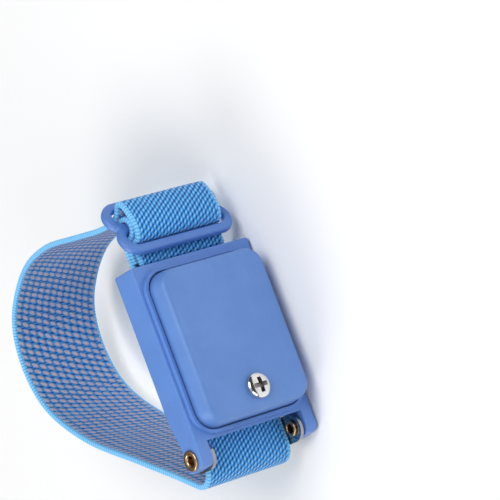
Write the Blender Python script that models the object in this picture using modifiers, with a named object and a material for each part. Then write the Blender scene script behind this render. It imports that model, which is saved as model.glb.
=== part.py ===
# Cordless anti-static wrist strap: a moulded case with a screwed cover, a hinged
# steel contact plate on two tubular rivets, and an elastic band with a slider.
#
# Units are metres. The strap stands on the right-hand side of its case, the way
# it is put down on a bench:
#   +X  from the clasp hinge towards the slider
#   +Y  from the cover towards the wrist
#   +Z  across the band, parallel to the hinge axis
# Sizes below are given in the case's own frame, whose origin is on the front
# plate, in the middle of the width. STRAP_ORIGIN moves that frame so that the
# finished strap stands with the middle of its footprint on the world's origin.

import math

import bmesh
import bpy
from mathutils import Matrix, Vector

# ---- driving sizes ---------------------------------------------------------

BAND_WIDTH = 0.0220
BAND_THICK = 0.0012
GAP = 0.0003                 # clearance between pieces that touch

CASE_WIDTH = 0.0305
WALL = 0.00285               # side walls and ears
CASE_TOP_X = 0.0225          # end of the case at the slider
CASE_LOW_X = -0.0157         # edge of the front plate at the hinge
EAR_END_X = -0.0208
PLATE_THICK = 0.0012         # front plate
WALL_DEPTH = 0.0072          # front plate to the wrist side of the walls
EAR_DEPTH = 0.0060
FLOOR_FRONT_Y = 0.0032
FLOOR_BACK_Y = 0.0046
FLOOR_LOW_X = -0.0150

COVER_LOW_X = -0.0140
COVER_TOP_X = 0.0200
COVER_WIDTH = 0.0270
COVER_HEIGHT = 0.0056
COVER_WALL = 0.0012
COVER_CORNER = 0.0042
RIM_WIDTH = 0.0007
RIM_HEIGHT = 0.0011

SCREW_X = -0.0088
SCREW_HEAD_RADIUS = 0.0027
SCREW_HEAD_HEIGHT = 0.0018
SCREW_RADIUS = 0.0014
SCREW_END_Y = 0.0043
NUT_FLATS = 0.0055
STUD_X = 0.0118              # contact stud through the floor

HINGE_X = -0.0185
HINGE_Y = 0.0036
RIVET_FLANGE_RADIUS = 0.00225
RIVET_RADIUS = 0.0015
RIVET_BORE_RADIUS = 0.0010
RIVET_HEAD_RADIUS = 0.00175
RIVET_PROUD = 0.00055        # how far the flange stands out of the ear

STEEL = 0.0008               # sheet of the contact plate
CLASP_Y = 0.0080             # middle of the sheet behind the floor
CLASP_HALF_WIDTH = 0.0120
EAR_RADIUS = 0.0030

CRIMP_SHEET = 0.0004
CRIMP_LENGTH = 0.0096
CRIMP_WIDTH = 0.0232
CRIMP_OPEN_X = -0.0126
CRIMP_Y = 0.0063             # middle of the band where the crimp holds it

STRAP_BAR_X = 0.0193         # moulded bar that the band turns round
STRAP_BAR_Y = 0.00435
STRAP_BAR_RADIUS = 0.00095

SLIDER_X = 0.0312
SLIDER_Y = 0.00345
SLIDER_TILT = math.radians(27)
SLIDER_LENGTH = 0.0285
SLIDER_HEIGHT = 0.0142
SLIDER_BAR = 0.0022          # the two outer bars
SLIDER_CENTRE_BAR = 0.0022
SLIDER_THICK = 0.0016
SLIDER_LOBE = 0.0040         # outer radius of each rounded end lobe
# middle of the band where it rolls over the centre bar, as distances along the
# slider's height and through its thickness; it bulges in front of the upper bar
ROLL_KNOTS = (
    (-0.0042, -0.0003), (-0.0038, -0.00125), (-0.00264, -0.00257), (-0.0007, -0.00335),
    (0.0014, -0.0036), (0.0028, -0.0036), (0.0038, -0.0034), (0.00445, -0.0029),
    (0.00465, -0.0022), (0.00445, -0.0016), (0.0042, -0.0011), (0.00403, -0.0005),
    (0.00397, 0.0001), (0.0040, 0.0007), (0.00444, 0.0021))

# ---- worked out from the driving sizes -------------------------------------

HALF = CASE_WIDTH / 2
INNER = HALF - WALL
HALF_BAND = BAND_WIDTH / 2
TURN_RADIUS = STRAP_BAR_RADIUS + 0.00015 + BAND_THICK / 2
FRONT_LAYER_Y = STRAP_BAR_Y - TURN_RADIUS
BACK_LAYER_Y = STRAP_BAR_Y + TURN_RADIUS
LEAVE_X = CASE_TOP_X + 0.0004
TAIL_Y = BACK_LAYER_Y - BAND_THICK - 0.00015
SEWN_RADIUS = 0.00205        # middle of the sewn loop round the centre bar
BEND_RADIUS = 0.0033         # middle of the band at its turn below the hinge
BEND_X = -0.0206
BEND_Y = CRIMP_Y + BEND_RADIUS

LOOP_FAR_Y = 0.0597          # middle of the band at the far side of the wrist
LOOP_TOP_X = 0.0372
LOOP_END_X = BEND_X - BEND_RADIUS
HALF_THICK = BAND_THICK / 2

FOOT_Z = HALF + RIVET_PROUD
SLIDER_TOP_X = (SLIDER_X + SLIDER_HEIGHT / 2 * math.cos(SLIDER_TILT)
                + SLIDER_THICK / 2 * math.sin(SLIDER_TILT))
MIDDLE_X = (SLIDER_TOP_X + LOOP_END_X - HALF_THICK) / 2
MIDDLE_Y = (LOOP_FAR_Y + HALF_THICK - COVER_HEIGHT - SCREW_HEAD_HEIGHT) / 2
STRAP_ORIGIN = (-MIDDLE_X, -MIDDLE_Y, FOOT_Z)

ROUND = 24                   # sides of a small round piece


# ---- scene, collections and finishes ----------------------------------------

def clear_scene():
    for obj in list(bpy.data.objects):
        bpy.data.objects.remove(obj, do_unlink=True)


def make_collection(name):
    made = bpy.data.collections.new(name)
    bpy.context.scene.collection.children.link(made)
    return made


def finish(name, colour, roughness, metallic=0.0):
    made = bpy.data.materials.new(name)
    made.use_nodes = True
    shader = made.node_tree.nodes["Principled BSDF"]
    shader.inputs["Base Color"].default_value = (*colour, 1.0)
    shader.inputs["Roughness"].default_value = roughness
    shader.inputs["Metallic"].default_value = metallic
    return made


def make_finishes():
    return {
        "case": finish("case_plastic", (0.13, 0.27, 0.66), 0.45),
        "slider": finish("slider_plastic", (0.11, 0.25, 0.64), 0.42),
        "band": finish("elastic_webbing", (0.04, 0.28, 0.78), 0.85),
        "thread": finish("thread", (0.05, 0.25, 0.72), 0.80),
        "steel": finish("steel_sheet", (0.62, 0.62, 0.64), 0.22, 1.0),
        "nickel": finish("nickel_plate", (0.66, 0.62, 0.65), 0.30, 1.0),
        "chrome": finish("screw_plate", (0.75, 0.74, 0.72), 0.15, 1.0),
        "brass": finish("brass", (0.72, 0.50, 0.25), 0.30, 1.0),
        "tinned": finish("tinned_copper", (0.60, 0.58, 0.55), 0.35, 1.0),
        "resistor": finish("resistor_paint", (0.62, 0.50, 0.33), 0.50),
    }


# ---- modelling helpers --------------------------------------------------------

def add_object(name, data, where, colour=None):
    obj = bpy.data.objects.new(name, data)
    where.objects.link(obj)
    obj.parent = STRAP
    if colour:
        data.materials.append(FINISH[colour])
    return obj


def mesh_object(name, bm, colour):
    bmesh.ops.recalc_face_normals(bm, faces=bm.faces)
    data = bpy.data.meshes.new(name)
    bm.to_mesh(data)
    bm.free()
    return add_object(name, data, PARTS, colour)


def cutter(name, bm):
    bmesh.ops.recalc_face_normals(bm, faces=bm.faces)
    data = bpy.data.meshes.new(name)
    bm.to_mesh(data)
    bm.free()
    obj = add_object(name, data, CUTTERS)
    obj.hide_render = True
    obj.display_type = "WIRE"
    return obj


def combine(target, tool, operation="DIFFERENCE"):
    step = target.modifiers.new(tool.name, "BOOLEAN")
    step.operation = operation
    step.solver = "EXACT"
    step.object = tool


def box_mesh(low, high):
    low = Vector(low)
    high = Vector(high)
    size = high - low
    bm = bmesh.new()
    place = Matrix.Translation((low + high) / 2) @ Matrix.Diagonal((*size, 1.0))
    bmesh.ops.create_cube(bm, size=1.0, matrix=place)
    return bm


def rod_mesh(start, end, radius, sides=ROUND):
    start = Vector(start)
    end = Vector(end)
    along = end - start
    turn = along.to_track_quat("Z", "Y").to_matrix().to_4x4()
    bm = bmesh.new()
    bmesh.ops.create_cone(
        bm, cap_ends=True, segments=sides, radius1=radius, radius2=radius,
        depth=along.length, matrix=Matrix.Translation((start + end) / 2) @ turn)
    return bm


def rounded_face(low_x, high_x, width, corner, y):
    # a rounded rectangle in the plane of the front plate
    bm = bmesh.new()
    place = Matrix.Translation(((low_x + high_x) / 2, y, 0))
    place = place @ Matrix.Rotation(math.pi / 2, 4, "X")
    place = place @ Matrix.Diagonal(((high_x - low_x) / 2, width / 2, 1, 1))
    bmesh.ops.create_grid(bm, x_segments=1, y_segments=1, size=1.0, matrix=place)
    bmesh.ops.bevel(bm, geom=bm.verts[:], offset=corner, segments=6, profile=0.5,
                    affect="VERTICES")
    return bm


def raise_face(bm, faces, height):
    grown = bmesh.ops.extrude_face_region(bm, geom=faces)
    moved = [v for v in grown["geom"] if isinstance(v, bmesh.types.BMVert)]
    bmesh.ops.translate(bm, verts=moved, vec=(0, height, 0))
    return moved


def turned(name, profile, start, direction, colour, closed):
    # spins a profile of (radius, height) points about an axis through start
    bm = bmesh.new()
    points = [bm.verts.new((radius, 0, height)) for radius, height in profile]
    for first, second in zip(points, points[1:]):
        bm.edges.new((first, second))
    if closed:
        bm.edges.new((points[-1], points[0]))
    data = bpy.data.meshes.new(name)
    bm.to_mesh(data)
    bm.free()
    obj = add_object(name, data, PARTS, colour)
    spin = obj.modifiers.new("spin", "SCREW")
    spin.axis = "Z"
    spin.angle = 2 * math.pi
    spin.steps = ROUND
    spin.render_steps = ROUND
    spin.use_merge_vertices = True
    spin.merge_threshold = 0.00001
    spin.use_smooth_shade = True
    obj.rotation_mode = "QUATERNION"
    obj.rotation_quaternion = Vector(direction).to_track_quat("Z", "Y")
    obj.location = start
    return obj


def strip(name, path, width, thick, colour):
    # sheet or webbing that follows a path of (x, y) points, centred on z = 0
    bm = bmesh.new()
    points = [bm.verts.new((x, y, -width / 2)) for x, y in path]
    rail = [bm.edges.new(pair) for pair in zip(points, points[1:])]
    grown = bmesh.ops.extrude_edge_only(bm, edges=rail)
    moved = [v for v in grown["geom"] if isinstance(v, bmesh.types.BMVert)]
    bmesh.ops.translate(bm, verts=moved, vec=(0, 0, width))
    obj = mesh_object(name, bm, colour)
    body = obj.modifiers.new("thickness", "SOLIDIFY")
    body.thickness = thick
    body.offset = 0.0
    body.use_even_offset = True
    return obj


def flat_piece(name, outlines, thick, colour, middle=(0, 0, 0), turn=None):
    # outlines are lists of (x, y) points; the first is the edge, the rest holes
    data = bpy.data.curves.new(name, "CURVE")
    data.dimensions = "2D"
    data.fill_mode = "BOTH"
    data.extrude = thick / 2
    for outline in outlines:
        line = data.splines.new("POLY")
        line.points.add(len(outline) - 1)
        for point, (x, y) in zip(line.points, outline):
            point.co = (x, y, 0, 1)
        line.use_cyclic_u = True
    guide = bpy.data.objects.new(name + "_outline", data)
    CUTTERS.objects.link(guide)
    bpy.context.view_layer.update()
    solid = bpy.data.meshes.new_from_object(guide.evaluated_get(
        bpy.context.evaluated_depsgraph_get()))
    bpy.data.objects.remove(guide)
    bm = bmesh.new()
    bm.from_mesh(solid)
    bmesh.ops.remove_doubles(bm, verts=bm.verts, dist=0.000005)
    bmesh.ops.dissolve_limit(bm, angle_limit=math.radians(1), verts=bm.verts,
                             edges=bm.edges)
    bm.transform(Matrix.Translation(middle) @ (turn or Matrix.Identity(4)))
    return mesh_object(name, bm, colour)


def round_edges(obj, width, segments=2, angle=40):
    step = obj.modifiers.new("rounding", "BEVEL")
    step.width = width
    step.segments = segments
    step.limit_method = "ANGLE"
    step.angle_limit = math.radians(angle)
    step.use_clamp_overlap = True


def move_origin(obj, point):
    obj.data.transform(Matrix.Translation(-Vector(point)))
    obj.location = point


def arc(centre, radius, first, last, steps):
    points = []
    for step in range(steps + 1):
        angle = math.radians(first + (last - first) * step / steps)
        points.append((centre[0] + radius * math.cos(angle),
                       centre[1] + radius * math.sin(angle)))
    return points


def smooth_path(knots, steps):
    # Catmull-Rom curve through the knots, without the two outer ones
    points = []
    for before, start, end, after in zip(knots, knots[1:], knots[2:], knots[3:]):
        for step in range(steps):
            t = step / steps
            points.append(tuple(
                0.5 * (2 * b + (c - a) * t + (2 * a - 5 * b + 4 * c - d) * t * t
                       + (3 * b - a - 3 * c + d) * t ** 3)
                for a, b, c, d in zip(before, start, end, after)))
    points.append(tuple(knots[-2]))
    return points


# ---- the case and what is fixed in it ------------------------------------------

def make_case_body():
    corner = 0.0019
    side = [(CASE_TOP_X, 0), (CASE_TOP_X, WALL_DEPTH), (-0.0090, WALL_DEPTH),
            (-0.0155, EAR_DEPTH), (EAR_END_X - 0.0003, EAR_DEPTH)]
    side += arc((EAR_END_X + corner, corner), corner, 180, 270, 6)
    body = flat_piece("case_body", [side], CASE_WIDTH, "case")
    round_edges(body, 0.0004, 2, 50)

    reach = 0.03
    between_ears = box_mesh((-reach, -0.001, -INNER), (CASE_LOW_X, 0.02, INNER))
    combine(body, cutter("gap_between_ears", between_ears))
    behind_plate = box_mesh((-reach, PLATE_THICK, -INNER), (FLOOR_LOW_X, 0.02, INNER))
    combine(body, cutter("gap_behind_plate", behind_plate))
    recess = box_mesh((-reach, FLOOR_BACK_Y, -INNER), (reach, 0.02, INNER))
    combine(body, cutter("clasp_recess", recess))
    turn_pocket = box_mesh((0.0165, PLATE_THICK, -INNER), (reach, 0.01, INNER))
    combine(body, cutter("strap_turn_pocket", turn_pocket))
    bay = box_mesh((COVER_LOW_X + 0.0015, -0.002, -0.0117), (0.0153, FLOOR_FRONT_Y, 0.0117))
    combine(body, cutter("component_bay", bay))

    rim = rounded_face(COVER_LOW_X - GAP - RIM_WIDTH, COVER_TOP_X + GAP + RIM_WIDTH,
                       COVER_WIDTH + 2 * (GAP + RIM_WIDTH), COVER_CORNER + RIM_WIDTH,
                       GAP)
    bmesh.ops.inset_region(rim, faces=rim.faces[:], thickness=RIM_WIDTH,
                           use_boundary=True, use_even_offset=True)
    middle = max(rim.faces, key=lambda face: face.calc_area())
    bmesh.ops.delete(rim, geom=[middle], context="FACES_ONLY")
    raise_face(rim, rim.faces[:], -(RIM_HEIGHT + GAP))
    combine(body, cutter("cover_rim", rim), "UNION")

    bar = rod_mesh((STRAP_BAR_X, STRAP_BAR_Y, -INNER - 0.0005),
                   (STRAP_BAR_X, STRAP_BAR_Y, INNER + 0.0005), STRAP_BAR_RADIUS, 16)
    combine(body, cutter("strap_bar", bar), "UNION")
    boss = rod_mesh((SCREW_X, 0.0006, 0), (SCREW_X, FLOOR_FRONT_Y + 0.0005, 0), 0.0042)
    combine(body, cutter("screw_boss", boss), "UNION")
    bore = rod_mesh((SCREW_X, -0.002, 0), (SCREW_X, 0.006, 0), SCREW_RADIUS + 0.0003)
    combine(body, cutter("screw_bore", bore))
    seat = rod_mesh((SCREW_X, 0.0020, 0), (SCREW_X, 0.006, 0),
                    NUT_FLATS / math.sqrt(3) + 0.0002, 6)
    combine(body, cutter("nut_seat", seat))
    hole = rod_mesh((STUD_X, 0, 0), (STUD_X, 0.006, 0), 0.0013)
    combine(body, cutter("stud_hole", hole))
    pivot = rod_mesh((HINGE_X, HINGE_Y, -0.02), (HINGE_X, HINGE_Y, 0.02),
                     RIVET_RADIUS + 0.0001)
    combine(body, cutter("rivet_holes", pivot))
    return body


def make_rivet(name, side):
    # rolled flange outside the ear, tube through both ears, rolled head inside
    flange = RIVET_FLANGE_RADIUS
    face = 0.0001
    outer_end = HALF + RIVET_PROUD
    inner_end = 0.01060
    inner_face = 0.01110
    profile = [
        (RIVET_BORE_RADIUS, outer_end - 0.0003),
        (RIVET_BORE_RADIUS + 0.0003, outer_end),
        (flange - 0.0004, outer_end),
        (flange, outer_end - 0.0002),
        (flange - 0.0001, HALF + face),
        (RIVET_RADIUS, HALF + face),
        (RIVET_RADIUS, inner_face),
        (RIVET_HEAD_RADIUS, inner_face),
        (RIVET_HEAD_RADIUS, inner_end + 0.0002),
        (RIVET_HEAD_RADIUS - 0.0002, inner_end),
        (RIVET_BORE_RADIUS + 0.0002, inner_end),
        (RIVET_BORE_RADIUS, inner_end + 0.0002),
    ]
    return turned(name, profile, (HINGE_X, HINGE_Y, 0), (0, 0, side), "brass", True)


def make_nut():
    bm = rod_mesh((SCREW_X, 0.0022, 0), (SCREW_X, 0.0045, 0), NUT_FLATS / math.sqrt(3), 6)
    nut = mesh_object("cover_nut", bm, "nickel")
    round_edges(nut, 0.00025, 1)
    bore = rod_mesh((SCREW_X, 0, 0), (SCREW_X, 0.006, 0), SCREW_RADIUS + 0.00012)
    combine(nut, cutter("nut_bore", bore))


def make_solder_tag():
    # flat ring under the cover's post, with a tail for the resistor's lead
    thick = 0.0004
    y = 0.00015
    ring = arc((SCREW_X, 0), 0.0033, 25, 335, 20)
    tail = [(SCREW_X + 0.0068, -0.0009), (SCREW_X + 0.0068, 0.0009)]
    hole = arc((SCREW_X, 0), SCREW_RADIUS + 0.0003, 0, 345, 23)
    lay_flat = Matrix.Rotation(math.pi / 2, 4, "X")
    flat_piece("solder_tag", [ring + tail, hole], thick, "tinned", (0, y, 0), lay_flat)


def make_resistor():
    length = 0.0063
    thick = 0.00118
    thin = 0.00098
    low_x = 0.0004
    y = 0.0017
    profile = [
        (0, length), (thick * 0.8, length), (thick, length - 0.0004),
        (thick, length - 0.0015), (thin, length - 0.0020), (thin, 0.0020),
        (thick, 0.0015), (thick, 0.0004), (thick * 0.8, 0), (0, 0)]
    turned("resistor_body", profile, (low_x, y, 0), (1, 0, 0), "resistor", False)
    tag_end = SCREW_X + 0.0068
    make_thread("resistor_lead_tag", [
        (low_x - GAP, y, 0), (low_x - 0.0012, y, 0), (low_x - 0.0018, 0.0013, 0),
        (tag_end - 0.0003, 0.00085, 0), (tag_end - 0.0016, 0.00075, 0)], 0.0003, "tinned")
    make_thread("resistor_lead_stud", [
        (low_x + length + GAP, y, 0), (low_x + length + 0.0010, y, 0),
        (low_x + length + 0.0017, 0.0019, 0), (STUD_X - 0.0002, 0.0019, 0)],
        0.0003, "tinned")


def make_thread(name, points, radius, colour):
    data = bpy.data.curves.new(name, "CURVE")
    data.dimensions = "3D"
    data.bevel_depth = radius
    data.bevel_resolution = 2
    data.use_fill_caps = True
    line = data.splines.new("POLY")
    line.points.add(len(points) - 1)
    for point, place in zip(line.points, points):
        point.co = (*place, 1)
    add_object(name, data, PARTS, colour)


def make_contact_stud():
    # rivet that joins the resistor's lead to the spring behind the floor
    profile = [(0, 0.00085), (0.0013, 0.00085), (0.0018, 0.0006), (0.0018, 0.0003),
               (0.0010, 0.0003), (0.0010, -0.0018), (0, -0.0018)]
    turned("contact_stud", profile, (STUD_X, FLOOR_FRONT_Y, 0), (0, -1, 0), "brass", False)


def make_contact_spring():
    # leaf held by the stud; its free end bows out to the steel plate
    foot_y = FLOOR_BACK_Y + 0.0005
    path = smooth_path([
        (STUD_X + 0.0040, foot_y), (STUD_X + 0.0022, foot_y), (STUD_X - 0.0022, foot_y),
        (STUD_X - 0.0060, 0.0067), (STUD_X - 0.0092, 0.0072), (STUD_X - 0.0114, 0.0064),
        (STUD_X - 0.0122, 0.0052)], 4)
    spring = strip("contact_spring", path, 0.0050, 0.00025, "nickel")
    hole = rod_mesh((STUD_X, 0.002, 0), (STUD_X, 0.007, 0), 0.0011, 16)
    combine(spring, cutter("spring_hole", hole))


def make_crimp():
    # folded ferrule, closed at the band's cut end
    fold = 0.00085
    fold_x = CRIMP_OPEN_X + CRIMP_LENGTH - fold - CRIMP_SHEET / 2
    path = [(CRIMP_OPEN_X, CRIMP_Y - fold)]
    path += arc((fold_x, CRIMP_Y), fold, -90, 90, 8)
    path += [(CRIMP_OPEN_X, CRIMP_Y + fold)]
    strip("band_crimp", path, CRIMP_WIDTH, CRIMP_SHEET, "nickel")


# ---- pieces that move on the case -----------------------------------------------

def make_clasp_plate():
    lip = [(-0.0160, CLASP_Y), (0.0156, CLASP_Y), (0.0168, CLASP_Y + 0.0002),
           (0.0180, CLASP_Y + 0.0007)]
    plate = strip("clasp_plate", lip, 2 * CLASP_HALF_WIDTH, STEEL, "steel")
    back = CLASP_Y + STEEL / 2
    side = arc((HINGE_X, HINGE_Y), EAR_RADIUS, 0, -180, 12)
    side += [(HINGE_X - EAR_RADIUS, back - 0.0016), (HINGE_X - EAR_RADIUS + 0.0016, back),
             (-0.0135, back), (-0.0135, back - STEEL), (HINGE_X + EAR_RADIUS, back - STEEL)]
    hole = arc((HINGE_X, HINGE_Y), RIVET_RADIUS + 0.0001, 0, 345, 23)
    for name, middle in (("left", 1), ("right", -1)):
        z = middle * (CLASP_HALF_WIDTH - STEEL / 2)
        ear = flat_piece("clasp_ear_" + name, [side, hole], STEEL, None, (0, 0, z))
        PARTS.objects.unlink(ear)
        CUTTERS.objects.link(ear)
        ear.hide_render = True
        ear.display_type = "WIRE"
        combine(plate, ear, "UNION")
    move_origin(plate, (HINGE_X, HINGE_Y, 0))


def make_cover():
    bm = rounded_face(COVER_LOW_X, COVER_TOP_X, COVER_WIDTH, COVER_CORNER, -GAP)
    base = bm.faces[:]
    raise_face(bm, base, -(COVER_HEIGHT - GAP))
    bmesh.ops.delete(bm, geom=base, context="FACES_ONLY")
    top_edges = [e for e in bm.edges
                 if all(v.co.y < -COVER_HEIGHT + GAP / 2 for v in e.verts)]
    bmesh.ops.bevel(bm, geom=top_edges, offset=0.0014, segments=3, profile=0.5,
                    affect="EDGES", clamp_overlap=True)
    cover = mesh_object("case_cover", bm, "case")
    shell = cover.modifiers.new("wall", "SOLIDIFY")
    shell.thickness = COVER_WALL
    shell.offset = -1.0
    shell.use_even_offset = True
    post = rod_mesh((SCREW_X, -COVER_HEIGHT + COVER_WALL / 2, 0), (SCREW_X, -0.0004, 0), 0.0033)
    combine(cover, cutter("screw_post", post), "UNION")
    bore = rod_mesh((SCREW_X, -0.01, 0), (SCREW_X, 0.01, 0), SCREW_RADIUS + 0.0003)
    combine(cover, cutter("cover_bore", bore))
    move_origin(cover, (SCREW_X, 0, 0))


def make_screw():
    head = SCREW_HEAD_HEIGHT
    wide = SCREW_HEAD_RADIUS
    seat = -COVER_HEIGHT - 0.00005
    length = SCREW_END_Y - seat
    profile = [
        (0, head), (wide * 0.45, head * 0.97), (wide * 0.80, head * 0.80),
        (wide * 0.97, head * 0.48), (wide, head * 0.25), (wide, 0),
        (SCREW_RADIUS, 0), (SCREW_RADIUS, -length + 0.0004),
        (SCREW_RADIUS - 0.0004, -length), (0, -length)]
    screw = turned("cover_screw", profile, (SCREW_X, seat, 0), (0, -1, 0), "chrome", False)
    for name, size_x, size_z in (("driver_slot_long", 0.0030, 0.0007),
                                 ("driver_slot_cross", 0.0007, 0.0030)):
        slot = box_mesh((SCREW_X - size_x / 2, seat - 0.01, -size_z / 2),
                        (SCREW_X + size_x / 2, seat - 0.0006, size_z / 2))
        combine(screw, cutter(name, slot))


def make_slider():
    half_height = SLIDER_HEIGHT / 2
    lobe_x = half_height - SLIDER_LOBE
    lobe_z = SLIDER_LENGTH / 2 - SLIDER_LOBE
    meet = math.degrees(math.acos(lobe_x / SLIDER_LOBE))
    edge = arc((lobe_x, lobe_z), SLIDER_LOBE, 0, 180 - meet, 10)
    edge += arc((-lobe_x, lobe_z), SLIDER_LOBE, meet, 180, 10)[1:]
    edge += arc((-lobe_x, -lobe_z), SLIDER_LOBE, 180, 360 - meet, 10)
    edge += arc((lobe_x, -lobe_z), SLIDER_LOBE, 180 + meet, 360, 10)[1:]
    inner = (half_height - SLIDER_BAR - SLIDER_CENTRE_BAR / 2) / 2
    hole_x = half_height - SLIDER_BAR - inner
    plain = arc((-hole_x, lobe_z), inner, 0, 180, 8)
    plain += arc((-hole_x, -lobe_z), inner, 180, 360, 8)
    toothed = arc((hole_x, -lobe_z), inner, 180, 360, 8)
    teeth = 6
    for tooth in range(teeth):
        low = -lobe_z + 2 * lobe_z * (tooth + 0.25) / teeth
        high = -lobe_z + 2 * lobe_z * (tooth + 0.75) / teeth
        toothed += [(hole_x + inner, low), (hole_x + inner - 0.0002, high)]
    toothed += arc((hole_x, lobe_z), inner, 0, 180, 8)
    # outline (height, length) becomes (x, z), then tilts with the slider
    stand = Matrix.Rotation(SLIDER_TILT, 4, "Z") @ Matrix.Rotation(math.pi / 2, 4, "X")
    slider = flat_piece("slider", [edge, plain, toothed], SLIDER_THICK, "slider",
                        (SLIDER_X, SLIDER_Y, 0), stand)
    round_edges(slider, 0.00045, 2, 45)
    move_origin(slider, (SLIDER_X, SLIDER_Y, 0))


# ---- the elastic band ---------------------------------------------------------------

def make_wrist_band():
    # from the slider round the wrist, under the hinge and into the crimp
    end_x = CRIMP_OPEN_X + CRIMP_LENGTH - 0.0022
    knots = [
        (0.0343, 0.0074), (0.0338, 0.0090), (0.0341, 0.0138), (0.0354, 0.0220),
        (LOOP_TOP_X, 0.0350), (0.0352, 0.0463), (0.0275, 0.0566), (0.0173, LOOP_FAR_Y),
        (0.0062, 0.0566), (-0.0040, 0.0458), (-0.0125, 0.0307), (-0.0190, 0.0189),
        (-0.0234, 0.01135), (-0.0239, 0.0098)]
    path = smooth_path(knots, 4)[:-1]
    path += arc((BEND_X, BEND_Y), BEND_RADIUS, 150, 270, 9)
    path += [(-0.0150, CRIMP_Y), (end_x, CRIMP_Y)]
    band = strip("wrist_band", path, BAND_WIDTH, BAND_THICK, "band")
    for name, side in (("front", -1), ("back", 1)):
        near = CRIMP_Y + side * 0.0005
        far = CRIMP_Y + side * 0.0020
        tool = box_mesh((CRIMP_OPEN_X - GAP, min(near, far), -0.02),
                        (0.0, max(near, far), 0.02))
        combine(band, cutter("crimped_" + name, tool))


def make_case_turn():
    # doubled round the moulded bar, both layers leaving the case
    path = [(LEAVE_X, FRONT_LAYER_Y)]
    path += arc((STRAP_BAR_X, STRAP_BAR_Y), TURN_RADIUS, 270, 90, 12)
    path += [(LEAVE_X, BACK_LAYER_Y)]
    strip("band_case_turn", path, BAND_WIDTH, BAND_THICK, "band")


def make_free_layers():
    # the two short stretches between the case and the slider
    start_x = LEAVE_X + GAP
    strip("band_front_layer", [(start_x, FRONT_LAYER_Y), (0.0268, FRONT_LAYER_Y + 0.0002)],
          BAND_WIDTH, BAND_THICK, "band")
    strip("band_back_layer", [(start_x, BACK_LAYER_Y), (0.0250, BACK_LAYER_Y - 0.00005)],
          BAND_WIDTH, BAND_THICK, "band")


def make_slider_turn():
    # from behind the slider's lower bar, over the sewn loop, down behind the upper bar
    path = [(0.0268 + GAP, FRONT_LAYER_Y + 0.0002), (0.02755, 0.00262), (0.02785, 0.00205),
            (0.0279, 0.0014)]
    lean = Matrix.Rotation(SLIDER_TILT, 2)
    path += [tuple(Vector((SLIDER_X, SLIDER_Y)) + lean @ Vector(point))
             for point in smooth_path(ROLL_KNOTS, 2)]
    path += [(0.0343, 0.0074), (0.0338 + 0.00006, 0.0090 - GAP)]
    strip("band_slider_turn", path, BAND_WIDTH, BAND_THICK, "band")


def make_sewn_end():
    # the band's end, turned round the slider's centre bar and sewn back on itself
    path = [(0.0250 + GAP, BACK_LAYER_Y - 0.00005), (0.0272, BACK_LAYER_Y - 0.0001),
            (0.0297, 0.0056)]
    path += arc((SLIDER_X, SLIDER_Y), SEWN_RADIUS, 90, -172, 18)
    path += [(0.0289, 0.0038), (0.0282, 0.0044), (0.0273, TAIL_Y), (0.0236, TAIL_Y)]
    strip("band_sewn_end", path, BAND_WIDTH, BAND_THICK, "band")


def make_end_stitching():
    # one thread in rows across the tail that hold it to the band behind it
    half_row = HALF_BAND - 0.0022
    turn = 0.0004
    first_x = 0.0244
    route = []
    for row in range(4):
        x = first_x + 2 * turn * row
        side = 1 if row % 2 == 0 else -1
        route += [(x, -side * half_row), (x, side * half_row)]
        if row < 3:
            corner = arc((x + turn, side * half_row), turn, 150, 30, 4)
            route += [(cx, side * half_row + side * (cz - side * half_row))
                      for cx, cz in corner]
    y = TAIL_Y - HALF_THICK - 0.0002
    make_thread("end_stitching", [(x, y, z) for x, z in route], 0.00015, "thread")


def build():
    make_case_body()
    make_rivet("hinge_rivet_left", 1)
    make_rivet("hinge_rivet_right", -1)
    make_nut()
    make_solder_tag()
    make_resistor()
    make_contact_stud()
    make_contact_spring()
    make_crimp()
    make_clasp_plate()
    make_cover()
    make_screw()
    make_slider()
    make_wrist_band()
    make_case_turn()
    make_free_layers()
    make_slider_turn()
    make_sewn_end()
    make_end_stitching()


clear_scene()
PARTS = make_collection("wrist_strap")
CUTTERS = make_collection("cutters")
FINISH = make_finishes()
FINISH[None] = None
STRAP = bpy.data.objects.new("strap_frame", None)
STRAP.location = STRAP_ORIGIN
PARTS.objects.link(STRAP)
build()
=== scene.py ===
import math

import bmesh
import bpy
from mathutils import Matrix, Vector


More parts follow.
